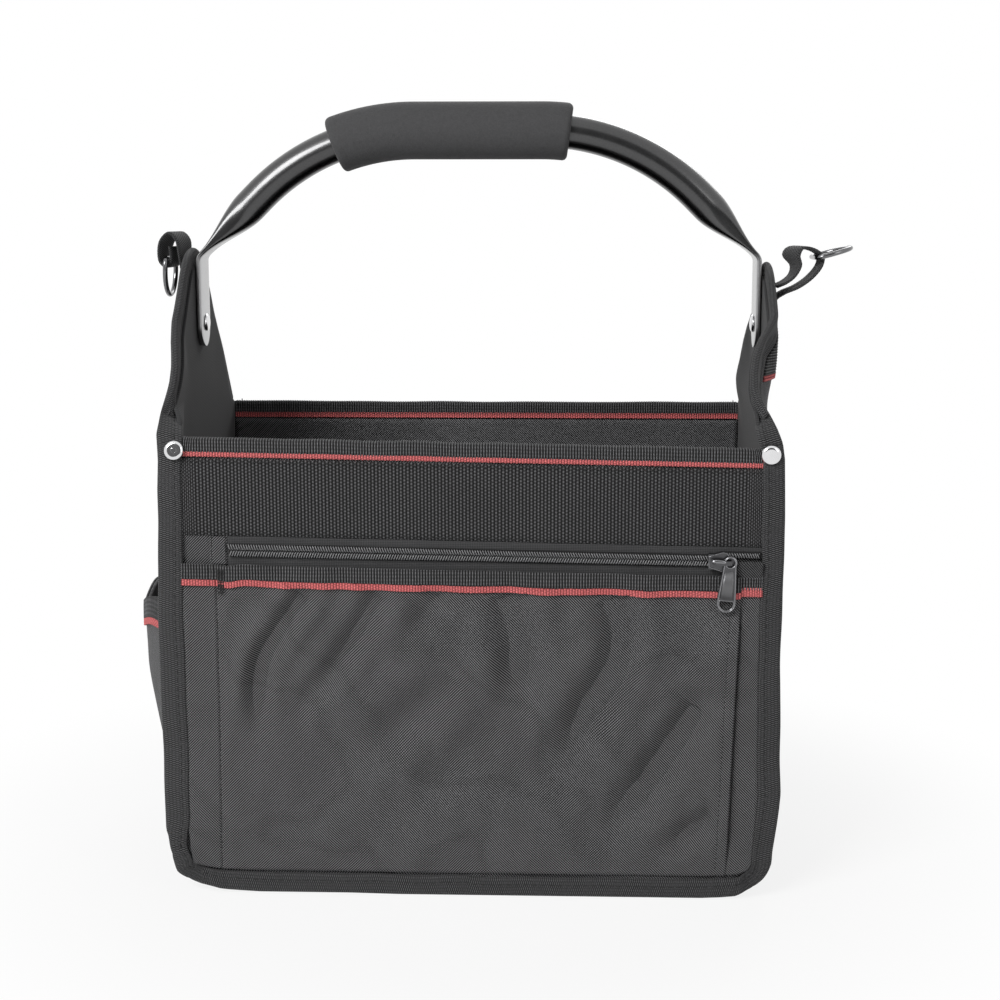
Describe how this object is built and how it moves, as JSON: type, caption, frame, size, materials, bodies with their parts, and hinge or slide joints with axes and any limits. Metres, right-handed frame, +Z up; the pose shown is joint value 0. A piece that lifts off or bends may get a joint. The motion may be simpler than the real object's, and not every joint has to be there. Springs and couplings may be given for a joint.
{
  "type": "tool bag",
  "caption": "Open-topped fabric tool bag with a front zip pocket, raised end flaps, a bent tube handle with a foam grip, and a D-ring on each flap.",
  "frame": {"origin": "centre of the base on the surface that the bag stands on", "axes": "+X to the right along the bag's width, +Y from the front to the back, +Z up"},
  "size_m": [0.4085, 0.2131, 0.4267],
  "materials": {
    "twill": "woven polyester twill, matt",
    "lining": "smooth matt lining",
    "binding": "woven binding tape, matt",
    "webbing": "ribbed webbing, slight sheen",
    "stripe": "woven red stripe, matt",
    "coil": "nylon coil, satin",
    "board": "smooth stiffener board",
    "gunmetal": "dark plated die casting, satin",
    "nickel": "polished nickel plate",
    "tube": "gloss black enamel",
    "foam": "fine-grained foam, matt"
  },
  "bodies": {
    "bag": {"front_panel": "twill", "front_lining": "lining", "back_panel": "twill", "back_lining": "lining", "base_panel": "twill", "base_board": "board", "base_lining": "lining", "front_seam_binding": "binding", "back_seam_binding": "binding", "left_end_panel": "twill", "left_end_lining": "lining", "left_flap_binding": "binding", "left_flap_patch": "webbing", "left_flap_stripe": "stripe", "right_end_panel": "twill", "right_end_lining": "lining", "right_flap_binding": "binding", "right_flap_patch": "webbing", "right_flap_stripe": "stripe", "front_rim_tape": "webbing", "front_rim_stripe": "stripe", "front_rim_inner_stripe": "stripe", "back_rim_tape": "webbing", "back_rim_stripe": "stripe", "back_rim_inner_stripe": "stripe", "webbing_band": "webbing", "pocket_panel": "twill", "pocket_trim": "webbing", "pocket_stripe": "stripe", "side_pocket": "twill", "side_pocket_trim": "webbing", "side_pocket_stripe": "stripe", "zip_tape_upper": "webbing", "zip_tape_lower": "webbing", "zip_coil_upper": "coil", "zip_coil_lower": "coil", "left_handle_rivet": "nickel", "left_rivet_washer": "nickel", "right_handle_rivet": "nickel", "right_rivet_washer": "nickel", "front_left_corner_rivet": "nickel", "front_right_corner_rivet": "nickel", "back_left_corner_rivet": "nickel", "back_right_corner_rivet": "nickel", "left_ring_webbing": "webbing", "right_ring_webbing": "webbing"},
    "handle": {"handle_tube": "tube", "handle_grip": "foam"},
    "slider": {"zip_slider": "gunmetal"},
    "pull": {"zip_pull": "gunmetal"},
    "left_ring": {"left_d_ring": "nickel"},
    "right_ring": {"right_d_ring": "nickel"}
  },
  "joints": [
    {"name": "handle_swing", "type": "hinge", "parent": "bag", "child": "handle", "pos_m": [0, 0, 0.303], "axis": [1, 0, 0], "range_deg": [-105, 105]},
    {"name": "zip_slide", "type": "slide", "parent": "bag", "child": "slider", "axis": [0.9999, 0, -0.016], "range_m": [-0.25, 0], "deforming": ["zip_coil_upper", "zip_coil_lower", "zip_tape_upper", "zip_tape_lower"]},
    {"name": "pull_swing", "type": "hinge", "parent": "slider", "child": "pull", "pos_m": [0.1363, -0.10645, 0.18532], "axis": [0, 1, 0], "range_deg": [-180, 40]},
    {"name": "left_ring_swing", "type": "hinge", "parent": "bag", "child": "left_ring", "pos_m": [-0.1765, 0, 0.3398], "axis": [0, 1, 0], "range_deg": [-14, 150]},
    {"name": "right_ring_swing", "type": "hinge", "parent": "bag", "child": "right_ring", "pos_m": [0.1905, 0, 0.3404], "axis": [0, 1, 0], "range_deg": [-75, 105]}
  ]
}
